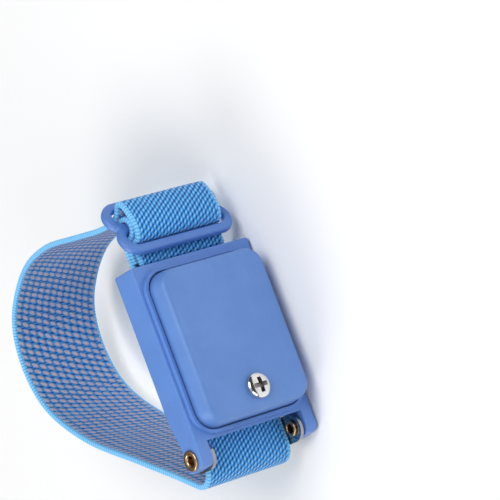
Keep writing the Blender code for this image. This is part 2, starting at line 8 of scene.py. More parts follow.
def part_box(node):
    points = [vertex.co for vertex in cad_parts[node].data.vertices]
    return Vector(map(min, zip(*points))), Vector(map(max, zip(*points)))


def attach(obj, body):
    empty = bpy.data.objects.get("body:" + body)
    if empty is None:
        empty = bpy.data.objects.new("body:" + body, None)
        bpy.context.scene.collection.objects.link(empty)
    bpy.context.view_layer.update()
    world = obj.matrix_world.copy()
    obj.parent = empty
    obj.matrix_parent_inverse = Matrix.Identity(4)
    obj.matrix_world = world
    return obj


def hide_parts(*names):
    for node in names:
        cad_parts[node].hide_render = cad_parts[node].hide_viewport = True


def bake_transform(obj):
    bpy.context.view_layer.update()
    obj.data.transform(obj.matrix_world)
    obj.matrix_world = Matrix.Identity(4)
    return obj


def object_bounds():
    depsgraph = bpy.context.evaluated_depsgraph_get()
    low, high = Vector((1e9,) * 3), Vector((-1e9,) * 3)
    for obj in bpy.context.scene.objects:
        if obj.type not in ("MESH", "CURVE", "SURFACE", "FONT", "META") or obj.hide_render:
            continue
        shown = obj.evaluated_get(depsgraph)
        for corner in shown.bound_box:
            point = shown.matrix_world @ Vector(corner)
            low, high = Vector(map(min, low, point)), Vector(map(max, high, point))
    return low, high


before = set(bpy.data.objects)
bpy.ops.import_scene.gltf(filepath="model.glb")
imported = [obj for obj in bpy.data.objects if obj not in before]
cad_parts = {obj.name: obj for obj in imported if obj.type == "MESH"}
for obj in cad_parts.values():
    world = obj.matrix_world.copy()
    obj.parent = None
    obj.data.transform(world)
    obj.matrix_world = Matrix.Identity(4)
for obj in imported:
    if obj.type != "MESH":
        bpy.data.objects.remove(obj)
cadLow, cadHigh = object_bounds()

# pieces are modelled in millimetres from the middle of the case's front plate
mm = 0.001
case = {"endX": 22.5, "backY": 7.2, "round": 0.28}
caseLow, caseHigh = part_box("case_body")
origin = Vector((caseHigh.x - case["endX"] * mm, caseHigh.y - case["backY"] * mm,
                 (caseLow.z + caseHigh.z) / 2))
toWorld = Matrix.Translation(origin) @ Matrix.Scale(mm, 4)


def newGroup(name, inputs, outputs):
    tree = bpy.data.node_groups.new(name, "ShaderNodeTree")
    for label, value in inputs.items():
        socket = tree.interface.new_socket(label, in_out="INPUT", socket_type="NodeSocketFloat")
        socket.default_value = value
    for label, kind in outputs.items():
        tree.interface.new_socket(label, in_out="OUTPUT", socket_type="NodeSocket" + kind)
    return tree, tree.nodes.new("NodeGroupInput").outputs, tree.nodes.new("NodeGroupOutput").inputs


def math2(tree, operation, first, second=0.0, third=None, clamp=False):
    node = tree.nodes.new("ShaderNodeMath")
    node.operation = operation
    node.use_clamp = clamp
    for socket, value in zip(node.inputs, (first, second, third)):
        if isinstance(value, bpy.types.NodeSocket):
            tree.links.new(value, socket)
        elif value is not None:
            socket.default_value = value
    return node.outputs[0]


def smoothStep(tree, value, low, high, toLow=0.0, toHigh=1.0):
    node = tree.nodes.new("ShaderNodeMapRange")
    node.interpolation_type = "SMOOTHSTEP"
    tree.links.new(value, node.inputs["Value"])
    node.inputs["From Min"].default_value = low
    node.inputs["From Max"].default_value = high
    node.inputs["To Min"].default_value = toLow
    node.inputs["To Max"].default_value = toHigh
    return node.outputs["Result"]


def noise(tree, vector, scale, detail=2.0, roughness=0.5):
    node = tree.nodes.new("ShaderNodeTexNoise")
    node.inputs["Scale"].default_value = scale
    node.inputs["Detail"].default_value = detail
    node.inputs["Roughness"].default_value = roughness
    tree.links.new(vector, node.inputs["Vector"])
    return node.outputs["Fac"]


def objectSpace(tree, stretch=(1, 1, 1)):
    coords = tree.nodes.new("ShaderNodeTexCoord")
    mapping = tree.nodes.new("ShaderNodeMapping")
    mapping.inputs["Scale"].default_value = stretch
    tree.links.new(coords.outputs["Object"], mapping.inputs["Vector"])
    return mapping.outputs["Vector"]


def mixColour(tree, mask, first, second):
    node = tree.nodes.new("ShaderNodeMix")
    node.data_type = "RGBA"
    tree.links.new(mask, node.inputs["Factor"])
    for name, value in (("A", first), ("B", second)):
        socket = [s for s in node.inputs if s.name == name and s.type == "RGBA"][0]
        if isinstance(value, bpy.types.NodeSocket):
            tree.links.new(value, socket)
        else:
            socket.default_value = (*value, 1.0)
    return [s for s in node.outputs if s.type == "RGBA"][0]


def bump(tree, height, distance, strength=1.0, normal=None):
    node = tree.nodes.new("ShaderNodeBump")
    node.inputs["Distance"].default_value = distance
    node.inputs["Strength"].default_value = strength
    tree.links.new(height, node.inputs["Height"])
    if normal is not None:
        tree.links.new(normal, node.inputs["Normal"])
    return node.outputs["Normal"]


def placeGroup(tree, group, values):
    node = tree.nodes.new("ShaderNodeGroup")
    node.node_tree = group
    for label, value in values.items():
        if isinstance(value, bpy.types.NodeSocket):
            tree.links.new(value, node.inputs[label])
        else:
            node.inputs[label].default_value = value
    return node.outputs


def newMaterial(name, metallic=0.0, **fixed):
    made = bpy.data.materials.new(name)
    made.use_nodes = True
    shader = made.node_tree.nodes["Principled BSDF"]
    shader.inputs["Metallic"].default_value = metallic
    for label, value in fixed.items():
        shader.inputs[label.replace("_", " ")].default_value = value
    return made, made.node_tree, shader.inputs


def makeGrain():
    # fine moulded or rolled texture: a normal, and a roughness that wanders
    tree, given, result = newGroup("fineGrain", {
        "Size": 900.0, "Depth": 0.00002, "Low": 0.35, "High": 0.5}, {
        "Roughness": "Float", "Normal": "Vector", "Cloud": "Float"})
    space = objectSpace(tree)
    fine = tree.nodes.new("ShaderNodeTexNoise")
    fine.inputs["Detail"].default_value = 3.0
    tree.links.new(space, fine.inputs["Vector"])
    tree.links.new(given["Size"], fine.inputs["Scale"])
    cloud = noise(tree, space, 140.0, 3.0, 0.6)
    spread = math2(tree, "SUBTRACT", given["High"], given["Low"])
    rough = math2(tree, "MULTIPLY_ADD", cloud, spread, given["Low"])
    relief = tree.nodes.new("ShaderNodeBump")
    tree.links.new(fine.outputs["Fac"], relief.inputs["Height"])
    tree.links.new(given["Depth"], relief.inputs["Distance"])
    tree.links.new(rough, result["Roughness"])
    tree.links.new(relief.outputs["Normal"], result["Normal"])
    tree.links.new(cloud, result["Cloud"])
    return tree


def makeScratches():
    # thin handling marks in two directions
    tree, given, result = newGroup("handlingMarks", {"Amount": 0.5}, {"Mask": "Float"})
    first = noise(tree, objectSpace(tree, (60, 900, 700)), 1.0, 2.0)
    second = noise(tree, objectSpace(tree, (900, 700, 80)), 1.0, 2.0)
    lines = math2(tree, "MAXIMUM", smoothStep(tree, first, 0.62, 0.74),
                  smoothStep(tree, second, 0.64, 0.76))
    patches = smoothStep(tree, noise(tree, objectSpace(tree), 260.0), 0.45, 0.7)
    marked = math2(tree, "MULTIPLY", lines, patches)
    tree.links.new(math2(tree, "MULTIPLY", marked, given["Amount"]), result["Mask"])
    return tree


def makeOuterWeave():
    # twilled outside of the webbing: slanted raised threads with pits between them; its outputs mark the
    # raised crowns, which get a painted highlight, and the pits, which get painted shade
    tree, given, result = newGroup("outerWeave", {
        "Along": 0.0, "Across": 0.0, "Column": 0.86, "Pitch": 1.08}, {
        "Height": "Float", "Pit": "Float", "Crown": "Float"})
    column = math2(tree, "DIVIDE", given["Across"], given["Column"])
    row = math2(tree, "DIVIDE", given["Along"], given["Pitch"])
    slant = math2(tree, "MULTIPLY_ADD", column, 0.5, row)
    acrossWave = math2(tree, "ABSOLUTE", math2(tree, "SINE", math2(tree, "MULTIPLY", column, math.pi)))
    slantWave = math2(tree, "ABSOLUTE", math2(tree, "SINE", math2(tree, "MULTIPLY", slant, math.pi)))
    height = math2(tree, "ADD", math2(tree, "MULTIPLY", acrossWave, 0.45),
                   math2(tree, "MULTIPLY", slantWave, 0.55))
    tree.links.new(height, result["Height"])
    # masks for the low hollows between threads, which get painted shade, and the raised crowns, which get a
    # painted highlight
    tree.links.new(smoothStep(tree, height, 0.30, 0.68, 1.0, 0.0), result["Pit"])
    tree.links.new(smoothStep(tree, height, 0.70, 0.98), result["Crown"])
    return tree


def makeInnerWeave():
    # inside of the webbing: rows of short grey conductive stitches on blue
    tree, given, result = newGroup("innerWeave", {
        "Along": 0.0, "Across": 0.0, "Column": 1.80, "Pitch": 1.62}, {
        "Height": "Float", "Stitch": "Float", "Groove": "Float"})
    column = math2(tree, "DIVIDE", given["Across"], given["Column"])
    index = math2(tree, "FLOOR", column)
    side = math2(tree, "SUBTRACT", math2(tree, "SUBTRACT", column, index), 0.5)
    row = math2(tree, "MULTIPLY_ADD", index, 0.5, math2(tree, "DIVIDE", given["Along"], given["Pitch"]))
    ahead = math2(tree, "SUBTRACT", math2(tree, "SUBTRACT", row, math2(tree, "FLOOR", row)), 0.5)
    lean = math2(tree, "MULTIPLY_ADD", ahead, 0.60, side)
    wide = math2(tree, "POWER", math2(tree, "DIVIDE", lean, 0.34), 2.0)
    long = math2(tree, "POWER", math2(tree, "DIVIDE", ahead, 0.40), 2.0)
    oval = math2(tree, "ADD", wide, long)
    stitch = smoothStep(tree, oval, 0.55, 1.25, 1.0, 0.0)
    fine = math2(tree, "ABSOLUTE", math2(tree, "SINE", math2(tree, "MULTIPLY", given["Along"], 4.2)))
    # grooves between the stitches: lowered in height here, and given painted shade in the material
    groove = math2(tree, "MULTIPLY", smoothStep(tree, oval, 1.3, 2.6), smoothStep(tree, fine, 0.2, 0.8))
    height = math2(tree, "SUBTRACT", stitch, math2(tree, "MULTIPLY", groove, 0.4))
    tree.links.new(height, result["Height"])
    tree.links.new(stitch, result["Stitch"])
    tree.links.new(groove, result["Groove"])
    return tree


print("shared effects")
grain = makeGrain()
scratches = makeScratches()
outerWeave = makeOuterWeave()
innerWeave = makeInnerWeave()


def plastic(name, colour, shade, low, high):
    made, tree, shader = newMaterial(name, Specular_IOR_Level=0.5, Subsurface_Weight=0.08,
                                     Subsurface_Scale=0.001, Subsurface_Radius=(0.3, 0.5, 1.0))
    fine = placeGroup(tree, grain, {"Size": 2600.0, "Depth": 0.000012, "Low": low, "High": high})
    marks = placeGroup(tree, scratches, {"Amount": 0.14})
    tone = smoothStep(tree, fine["Cloud"], 0.3, 0.75)
    body = mixColour(tree, tone, colour, shade)
    pale = [min(1.0, c * 1.25 + 0.03) for c in colour]
    tree.links.new(mixColour(tree, marks["Mask"], body, pale), shader["Base Color"])
    tree.links.new(fine["Roughness"], shader["Roughness"])
    tree.links.new(fine["Normal"], shader["Normal"])
    return made


def metal(name, colour, dull, low, high, size=1500.0, stretch=None, markAmount=0.6):
    made, tree, shader = newMaterial(name, 1.0)
    fine = placeGroup(tree, grain, {"Size": size, "Depth": 0.000006, "Low": low, "High": high})
    marks = placeGroup(tree, scratches, {"Amount": markAmount})
    tone = smoothStep(tree, fine["Cloud"], 0.35, 0.8)
    tree.links.new(mixColour(tree, tone, colour, dull), shader["Base Color"])
    rough = math2(tree, "MULTIPLY_ADD", marks["Mask"], 0.25, fine["Roughness"], clamp=True)
    tree.links.new(rough, shader["Roughness"])
    normal = fine["Normal"]
    if stretch:
        streaks = noise(tree, objectSpace(tree, stretch), 1.0, 3.0, 0.6)
        normal = bump(tree, streaks, 0.00001, 0.6, normal)
    tree.links.new(normal, shader["Normal"])
    return made


# the highlight colour is a painted highlight on raised thread crowns and selvedge ribs; the pit and groove
# colours are painted shade in the hollows of the weave
webbing = {
    "light": (0.23, 0.62, 0.98), "thread": (0.040, 0.34, 0.86), "pit": (0.002, 0.050, 0.28),
    "stitch": (0.54, 0.47, 0.58), "ground": (0.060, 0.34, 0.78), "groove": (0.006, 0.080, 0.36),
    "halfWidth": 11.0, "edge": 0.75, "relief": 0.00030,
}


def webbingFace(name, outside):
    made, tree, shader = newMaterial(name, Sheen_Weight=0.25, Sheen_Roughness=0.4,
                                     Specular_IOR_Level=0.35)
    uv = tree.nodes.new("ShaderNodeUVMap")
    uv.uv_map = "weave"
    wobble = noise(tree, objectSpace(tree), 380.0, 2.0)
    parts = tree.nodes.new("ShaderNodeSeparateXYZ")
    tree.links.new(uv.outputs["UV"], parts.inputs["Vector"])
    along = math2(tree, "MULTIPLY_ADD", wobble, 0.5, parts.outputs["X"])
    across = math2(tree, "MULTIPLY_ADD", wobble, 0.22, parts.outputs["Y"])
    distance = math2(tree, "ABSOLUTE", parts.outputs["Y"])
    edge = webbing["halfWidth"] - webbing["edge"]
    selvedge = smoothStep(tree, distance, edge - 0.15, edge + 0.15)
    fibre = noise(tree, objectSpace(tree), 5200.0, 2.0, 0.7)
    if outside:
        weave = placeGroup(tree, outerWeave, {"Along": along, "Across": across})
        pit, crownHighlight = weave["Pit"], weave["Crown"]
        # painted highlight: the raised thread crowns take the lighter blue
        colour = mixColour(tree, crownHighlight, webbing["thread"], webbing["light"])
        # painted shade: the pits between the threads take a near-black blue
        colour = mixColour(tree, pit, colour, webbing["pit"])
    else:
        weave = placeGroup(tree, innerWeave, {"Along": along, "Across": across})
        # painted shade: the grooves between stitches take a darker blue
        colour = mixColour(tree, weave["Groove"], webbing["ground"], webbing["groove"])
        colour = mixColour(tree, weave["Stitch"], colour, webbing["stitch"])
    cross = math2(tree, "ABSOLUTE", math2(tree, "SINE", math2(tree, "MULTIPLY", parts.outputs["X"], 4.5)))
    # painted highlight: the raised cross ribs of the selvedge take the lighter blue
    plain = mixColour(tree, smoothStep(tree, cross, 0.1, 0.6), webbing["thread"], webbing["light"])
    colour = mixColour(tree, selvedge, colour, plain)
    worn = smoothStep(tree, noise(tree, objectSpace(tree), 120.0), 0.55, 0.8, 0.0, 0.22)
    tree.links.new(mixColour(tree, worn, colour, (0.16, 0.50, 0.92)), shader["Base Color"])
    height = math2(tree, "MULTIPLY_ADD", fibre, 0.18, weave["Height"])
    flat = math2(tree, "MULTIPLY_ADD", cross, 0.35, 0.3)
    mixed = tree.nodes.new("ShaderNodeMix")
    tree.links.new(selvedge, mixed.inputs[0])
    tree.links.new(height, mixed.inputs[2])
    tree.links.new(flat, mixed.inputs[3])
    tree.links.new(bump(tree, mixed.outputs[0], webbing["relief"]), shader["Normal"])
    tree.links.new(smoothStep(tree, fibre, 0.3, 0.8, 0.62, 0.85), shader["Roughness"])
    return made


def threadFace():
    made, tree, shader = newMaterial("sewingThread", Sheen_Weight=0.3)
    twist = tree.nodes.new("ShaderNodeTexWave")
    twist.bands_direction = "DIAGONAL"
    twist.inputs["Scale"].default_value = 1400.0
    twist.inputs["Distortion"].default_value = 1.5
    tree.links.new(objectSpace(tree), twist.inputs["Vector"])
    # painted highlight on the raised twist ridges and painted shade in the hollows between them, following
    # the same wave as the bump
    tree.links.new(mixColour(tree, twist.outputs["Fac"], (0.02, 0.16, 0.55), (0.07, 0.38, 0.90)),
                   shader["Base Color"])
    tree.links.new(smoothStep(tree, twist.outputs["Fac"], 0.0, 1.0, 0.6, 0.8), shader["Roughness"])
    tree.links.new(bump(tree, twist.outputs["Fac"], 0.00005), shader["Normal"])
    return made


resistorRings = {"body": (0.62, 0.47, 0.28), "start": 0.4, "length": 6.3, "rings": (
    (0.17, 0.25, (0.16, 0.045, 0.015)), (0.33, 0.41, (0.012, 0.012, 0.012)),
    (0.49, 0.57, (0.02, 0.20, 0.05)), (0.74, 0.82, (0.60, 0.38, 0.08)))}


def resistorFace():
    made, tree, shader = newMaterial("ringedCoating", Coat_Weight=0.4)
    fine = placeGroup(tree, grain, {"Size": 3000.0, "Depth": 0.00001, "Low": 0.32, "High": 0.5})
    parts = tree.nodes.new("ShaderNodeSeparateXYZ")
    tree.links.new(objectSpace(tree), parts.inputs["Vector"])
    startX = origin.x + resistorRings["start"] * mm
    place = math2(tree, "DIVIDE", math2(tree, "SUBTRACT", parts.outputs["X"], startX),
                  resistorRings["length"] * mm)
    colour = mixColour(tree, fine["Cloud"], resistorRings["body"],
                       [c * 0.8 for c in resistorRings["body"]])
    for low, high, ring in resistorRings["rings"]:
        inside = math2(tree, "MULTIPLY", smoothStep(tree, place, low - 0.01, low + 0.01),
                       smoothStep(tree, place, high - 0.01, high + 0.01, 1.0, 0.0))
        colour = mixColour(tree, inside, colour, ring)
    tree.links.new(colour, shader["Base Color"])
    tree.links.new(fine["Roughness"], shader["Roughness"])
    tree.links.new(fine["Normal"], shader["Normal"])
    return made


print("materials")
casePlastic = plastic("mouldedCase", (0.118, 0.262, 0.655), (0.105, 0.240, 0.610), 0.36, 0.48)
coverPlastic = plastic("mouldedCover", (0.122, 0.262, 0.630), (0.108, 0.240, 0.590), 0.36, 0.50)
sliderPlastic = plastic("mouldedSlider", (0.095, 0.225, 0.600), (0.085, 0.205, 0.560), 0.30, 0.42)
contactSteel = metal("rolledSteel", (0.36, 0.36, 0.38), (0.26, 0.26, 0.28), 0.14, 0.26,
                     stretch=(80, 3500, 3500))
crimpNickel = metal("nickelPlate", (0.70, 0.66, 0.69), (0.58, 0.55, 0.58), 0.24, 0.38)
screwPlate = metal("brightPlate", (0.80, 0.79, 0.78), (0.62, 0.60, 0.58), 0.08, 0.18, 1100.0)
# painted shade: the same plating as the screw head, given a darker colour to stand in for the shade inside
# the cross recess
shadedRecessPlate = metal("shadedRecessPlate", (0.40, 0.37, 0.37), (0.20, 0.18, 0.18), 0.30, 0.50, 1100.0)
rivetBrass = metal("rolledBrass", (0.60, 0.40, 0.22), (0.42, 0.27, 0.15), 0.18, 0.34)
tinnedCopper = metal("tinnedCopper", (0.66, 0.64, 0.60), (0.52, 0.48, 0.42), 0.26, 0.42)
springSteel = metal("springStrip", (0.58, 0.58, 0.61), (0.48, 0.48, 0.50), 0.20, 0.32,
                    stretch=(3500, 3500, 120))
webbingOutside = webbingFace("webbingOutside", True)
webbingInside = webbingFace("webbingInside", False)
sewingThread = threadFace()
ringedCoating = resistorFace()


def finishMesh(name, bm, materials, smoothAngle=40):
    bm.transform(toWorld)
    data = bpy.data.meshes.new(name)
    bm.to_mesh(data)
    bm.free()
    for material in materials:
        data.materials.append(material)
    data.shade_smooth()
    data.set_sharp_from_angle(angle=math.radians(smoothAngle))
    piece = bpy.data.objects.new(name, data)
    bpy.context.scene.collection.objects.link(piece)
    return piece


def settle(piece, smoothAngle=40):
    # applies the piece's modifiers to its mesh
    bpy.context.view_layer.update()
    old = piece.data
    made = bpy.data.meshes.new_from_object(
        piece.evaluated_get(bpy.context.evaluated_depsgraph_get()))
    piece.modifiers.clear()
    piece.data = made
    made.name = piece.name
    made.shade_smooth()
    made.set_sharp_from_angle(angle=math.radians(smoothAngle))
    bpy.data.meshes.remove(old)
    return piece


def carve(piece, tools, smoothAngle=40):
    for tool in tools:
        cut = piece.modifiers.new("cut", "BOOLEAN")
        cut.solver = "EXACT"
        cut.object = tool
    settle(piece, smoothAngle)
    for tool in tools:
        bpy.data.objects.remove(tool, do_unlink=True)
    return piece


def standFor(piece, body, slot, *nodes):
    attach(piece, body)
    if nodes:
        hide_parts(*nodes)
    return piece


def arc(centre, radius, first, last, steps):
    turns = [math.radians(first + (last - first) * step / steps) for step in range(steps + 1)]
    return [(centre[0] + radius * math.cos(t), centre[1] + radius * math.sin(t)) for t in turns]


def smoothPath(knots, steps):
    points = []
    for before, start, end, after in zip(knots, knots[1:], knots[2:], knots[3:]):
        for step in range(steps):
            t = step / steps
            points.append(tuple(
                0.5 * (2 * b + (c - a) * t + (2 * a - 5 * b + 4 * c - d) * t * t
                       + (3 * b - a - 3 * c + d) * t ** 3)
                for a, b, c, d in zip(before, start, end, after)))
    return points + [tuple(knots[-2])]


def polished(node, material, body, slot, width, segments=3, smoothAngle=35):
    # a copy of the frame's piece with merged corners and softly rounded edges
    bm = bmesh.new()
    bm.from_mesh(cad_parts[node].data)
    bmesh.ops.remove_doubles(bm, verts=bm.verts, dist=0.000002)
    bmesh.ops.dissolve_limit(bm, angle_limit=math.radians(1.0), verts=bm.verts, edges=bm.edges)
    bm.transform(toWorld.inverted())
    sharp = [e for e in bm.edges if len(e.link_faces) == 2
             and e.calc_face_angle(0.0) > math.radians(38)]
    bmesh.ops.bevel(bm, geom=sharp, offset=width, segments=segments, profile=0.5,
                    affect="EDGES", clamp_overlap=True, material=-1)
    words = node.split("_")
    piece = finishMesh(words[0] + "".join(w.capitalize() for w in words[1:]), bm, [material],
                       smoothAngle)
    even = piece.modifiers.new("evenNormals", "WEIGHTED_NORMAL")
    even.keep_sharp = True
    even.weight = 90
    return standFor(piece, body, slot, node)


def turned(name, profile, base, direction, material, steps=64, smoothAngle=45):
    # profile points are (radius, height) about an axis through base
    bm = bmesh.new()
    points = [bm.verts.new((radius, 0, height)) for radius, height in profile]
    rail = [bm.edges.new(pair) for pair in zip(points, points[1:])]
    bmesh.ops.spin(bm, geom=points + rail, cent=(0, 0, 0), axis=(0, 0, 1),
                   angle=2 * math.pi, steps=steps, use_merge=True)
    bmesh.ops.remove_doubles(bm, verts=bm.verts, dist=0.0005)
    bmesh.ops.recalc_face_normals(bm, faces=bm.faces)
    turn = Vector(direction).to_track_quat("Z", "Y").to_matrix().to_4x4()
    bm.transform(Matrix.Translation(base) @ turn)
    return finishMesh(name, bm, [material], smoothAngle)


cover = {
    "lowX": -14.0, "highX": 20.0, "halfWidth": 13.5, "corner": 4.2, "base": -0.3, "wall": 1.2,
    "steps": ((0.05, 0.5), (0.10, 1.75), (0.12, 1.60), (0.07, 0.42), (0.12, 0.34), (0.17, 0.26), (0.20, 0.18),
              (0.24, 0.13), (0.26, 0.08), (0.26, 0.04)),
    "post": ((1.75, 4.9), (1.75, 0.7), (1.9, 0.45), (3.1, 0.45), (3.3, 0.7), (3.3, 4.9)),
}


def makeCover():
    bm = bmesh.new()
    middle = (cover["lowX"] + cover["highX"]) / 2
    half = (cover["highX"] - cover["lowX"]) / 2
    bmesh.ops.create_grid(bm, x_segments=1, y_segments=1, size=1.0)
    bmesh.ops.scale(bm, verts=bm.verts, vec=(half, cover["halfWidth"], 1))
    bmesh.ops.bevel(bm, geom=bm.verts[:], offset=cover["corner"], segments=14, profile=0.5,
                    affect="VERTICES", material=-1)
    bmesh.ops.recalc_face_normals(bm, faces=bm.faces)
    bmesh.ops.rotate(bm, verts=bm.verts, matrix=Matrix.Rotation(math.pi / 2, 3, "X"))
    bmesh.ops.translate(bm, verts=bm.verts, vec=(middle, cover["base"], 0))
    top = bm.faces[0]
    if top.normal.y > 0:
        bmesh.ops.reverse_faces(bm, faces=[top])
    for inward, rise in cover["steps"]:
        bmesh.ops.inset_region(bm, faces=[top], thickness=inward, depth=rise, use_boundary=True,
                               use_even_offset=True)
    piece = finishMesh("caseCover", bm, [coverPlastic], 30)
    shell = piece.modifiers.new("wall", "SOLIDIFY")
    shell.thickness = cover["wall"] * mm
    shell.offset = -1
    shell.use_even_offset = True
    settle(piece, 30)
    standFor(piece, "cover", "case_plastic", "case_cover")
    post = turned("coverPost", cover["post"], (screw["x"], 0, 0), (0, -1, 0), coverPlastic)
    standFor(post, "cover", "case_plastic")


screw = {"x": -8.8, "seat": -5.62, "radius": 2.7, "height": 1.8, "shank": 1.4, "reach": 9.9,
         "slot": 0.52, "slotReach": 2.5, "slotDepth": 1.5, "pitch": 0.5}


def makeScrew():
    s = screw
    head = [(0.0, s["height"])]
    head += [(s["radius"] * math.sin(math.radians(a)), s["height"] - 0.95 * (1 - math.cos(math.radians(a))))
             for a in range(12, 79, 11)]
    head += [(s["radius"], 0.55), (s["radius"], 0.18), (s["radius"] - 0.12, 0.0), (s["shank"], 0.0)]
    height = -0.4
    while height > -s["reach"] + 0.5:
        head += [(s["shank"], height), (s["shank"] - 0.18, height - s["pitch"] * 0.4),
                 (s["shank"] - 0.18, height - s["pitch"] * 0.5)]
        height -= s["pitch"]
    head += [(s["shank"] - 0.1, -s["reach"] + 0.25), (s["shank"] - 0.4, -s["reach"]), (0.0, -s["reach"])]
    piece = turned("coverScrew", head, (s["x"], s["seat"], 0), (0, -1, 0), screwPlate, 96, 30)
    tools = []
    for quarter in range(2):
        bm = bmesh.new()
        bmesh.ops.create_cone(bm, cap_ends=True, segments=4, radius1=1.0, radius2=1.0, depth=1.0,
                              matrix=Matrix.Rotation(math.pi / 4, 4, "Z"))
        wide = s["slotReach"] * math.sqrt(2)
        thin = s["slot"] * math.sqrt(2)
        for vert in bm.verts:
            taper = 1.0 if vert.co.z > 0 else 0.38
            vert.co.x *= wide * taper
            vert.co.y *= thin * (0.75 + 0.25 * taper)
            vert.co.z *= 2 * s["slotDepth"]
        bmesh.ops.rotate(bm, verts=bm.verts, matrix=Matrix.Rotation(quarter * math.pi / 2, 3, "Z"))
        bmesh.ops.rotate(bm, verts=bm.verts, matrix=Matrix.Rotation(math.pi / 2, 3, "X"))
        bmesh.ops.translate(bm, verts=bm.verts, vec=(s["x"], s["seat"] - s["height"], 0))
        # the cut faces take the darker recess material: painted shade inside the cross recess
        for face in bm.faces:
            face.material_index = 1
        tools.append(finishMesh("recess" + str(quarter), bm, [screwPlate, shadedRecessPlate]))
    piece.data.materials.append(shadedRecessPlate)
    carve(piece, tools, 30)
    standFor(piece, "screw", "screw_plate", "cover_screw")


print("case")
polished("case_body", casePlastic, "case", "case_plastic", case["round"], 3)
makeCover()
makeScrew()


rivet = {"x": -18.5, "y": 3.6, "outer": 15.8, "face": 15.27, "flange": 2.25, "shank": 1.5, "bore": 1.0,
         "innerFace": 11.1, "innerEnd": 10.6, "innerHead": 1.75}


def makeRivet(name, side, node):
    r = rivet
    roll = r["outer"] - r["face"]
    profile = [(r["bore"], 13.0)]
    profile += [(r["bore"], r["outer"] - 0.6)]
    profile += arc((r["bore"] + 0.55, r["outer"] - 0.55), 0.55, 180, 90, 8)
    profile += arc((r["flange"] - roll / 2, r["outer"] - roll / 2), roll / 2, 90, -90, 8)
    profile += [(r["shank"], r["face"]), (r["shank"], r["innerFace"])]
    lip = (r["innerFace"] - r["innerEnd"]) / 2
    profile += arc((r["innerHead"] - lip, r["innerEnd"] + lip), lip, 90, -90, 8)
    profile += arc((r["bore"] + 0.25, r["innerEnd"] + 0.25), 0.25, 270, 180, 4)
    profile += [(r["bore"], 13.0)]
    piece = turned(name, profile, (r["x"], r["y"], 0), (0, 0, side), rivetBrass, 64, 40)
    standFor(piece, "case", "rivet_brass", node)


print("hinge and metal pieces")
makeRivet("hingeRivetLeft", 1, "hinge_rivet_left")
makeRivet("hingeRivetRight", -1, "hinge_rivet_right")
polished("clasp_plate", contactSteel, "clasp", "contact_steel", 0.16, 2)
polished("band_crimp", crimpNickel, "case", "crimp_plate", 0.10, 2)
polished("cover_nut", screwPlate, "case", "screw_plate", 0.12, 2)
polished("solder_tag", tinnedCopper, "case", "tinned_metal", 0.06, 2)
polished("contact_spring", springSteel, "case", "spring_steel", 0.04, 2)
for name, material in (("contact_stud", rivetBrass), ("resistor_body", ringedCoating),
                       ("resistor_lead_tag", tinnedCopper), ("resistor_lead_stud", tinnedCopper),
                       ("end_stitching", sewingThread)):
    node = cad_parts[name]
    node.data.materials.clear()
    node.data.materials.append(material)


slider = {"x": 31.2, "y": 3.45, "tilt": 27.0, "length": 28.5, "height": 14.2, "thick": 1.75,
          "bar": 2.2, "centreBar": 2.2, "lobe": 4.0, "teeth": 9, "toothDepth": 0.22, "round": 0.62}


def makeSlider():
    s = slider
    halfHeight = s["height"] / 2
    lobeX = halfHeight - s["lobe"]
    lobeZ = s["length"] / 2 - s["lobe"]
    meet = math.degrees(math.acos(lobeX / s["lobe"])) + 3
    edge = arc((lobeX, lobeZ), s["lobe"], 0, 180 - meet, 24)
    edge += arc((-lobeX, lobeZ), s["lobe"], meet, 180, 24)
    edge += arc((-lobeX, -lobeZ), s["lobe"], 180, 360 - meet, 24)
    edge += arc((lobeX, -lobeZ), s["lobe"], 180 + meet, 360, 24)
    hole = (halfHeight - s["bar"] - s["centreBar"] / 2) / 2
    holeX = halfHeight - s["bar"] - hole
    plain = arc((-holeX, lobeZ), hole, 0, 180, 20) + arc((-holeX, -lobeZ), hole, 180, 360, 20)
    toothed = arc((holeX, -lobeZ), hole, 180, 360, 20)
    steps = s["teeth"] * 6
    for step in range(1, steps):
        wave = 0.5 - 0.5 * math.cos(2 * math.pi * s["teeth"] * step / steps)
        toothed.append((holeX + hole - s["toothDepth"] * wave, -lobeZ + 2 * lobeZ * step / steps))
    toothed += arc((holeX, lobeZ), hole, 0, 180, 20)
    data = bpy.data.curves.new("slider", "CURVE")
    data.dimensions = "2D"
    data.fill_mode = "BOTH"
    data.extrude = (s["thick"] / 2 - s["round"]) * mm
    data.bevel_depth = s["round"] * mm
    data.bevel_resolution = 5
    data.offset = -s["round"] * mm
    for outline in (edge, plain, toothed):
        line = data.splines.new("POLY")
        line.points.add(len(outline) - 1)
        for point, (x, y) in zip(line.points, outline):
            point.co = (x * mm, y * mm, 0, 1)
        line.use_cyclic_u = True
    guide = bpy.data.objects.new("sliderOutline", data)
    bpy.context.scene.collection.objects.link(guide)
    bpy.context.view_layer.update()
    flat = bpy.data.meshes.new_from_object(guide.evaluated_get(bpy.context.evaluated_depsgraph_get()))
    bpy.data.objects.remove(guide, do_unlink=True)
    bm = bmesh.new()
    bm.from_mesh(flat)
    bmesh.ops.remove_doubles(bm, verts=bm.verts, dist=0.000003)
    bmesh.ops.recalc_face_normals(bm, faces=bm.faces)
    stand = Matrix.Rotation(math.radians(s["tilt"]), 4, "Z") @ Matrix.Rotation(math.pi / 2, 4, "X")
    bm.transform(Matrix.Translation((s["x"], s["y"], 0)) @ stand @ Matrix.Scale(1 / mm, 4))
    piece = finishMesh("triGlideSlider", bm, [sliderPlastic], 50)
    standFor(piece, "slider", "slider_plastic", "slider")


print("slider")
makeSlider()


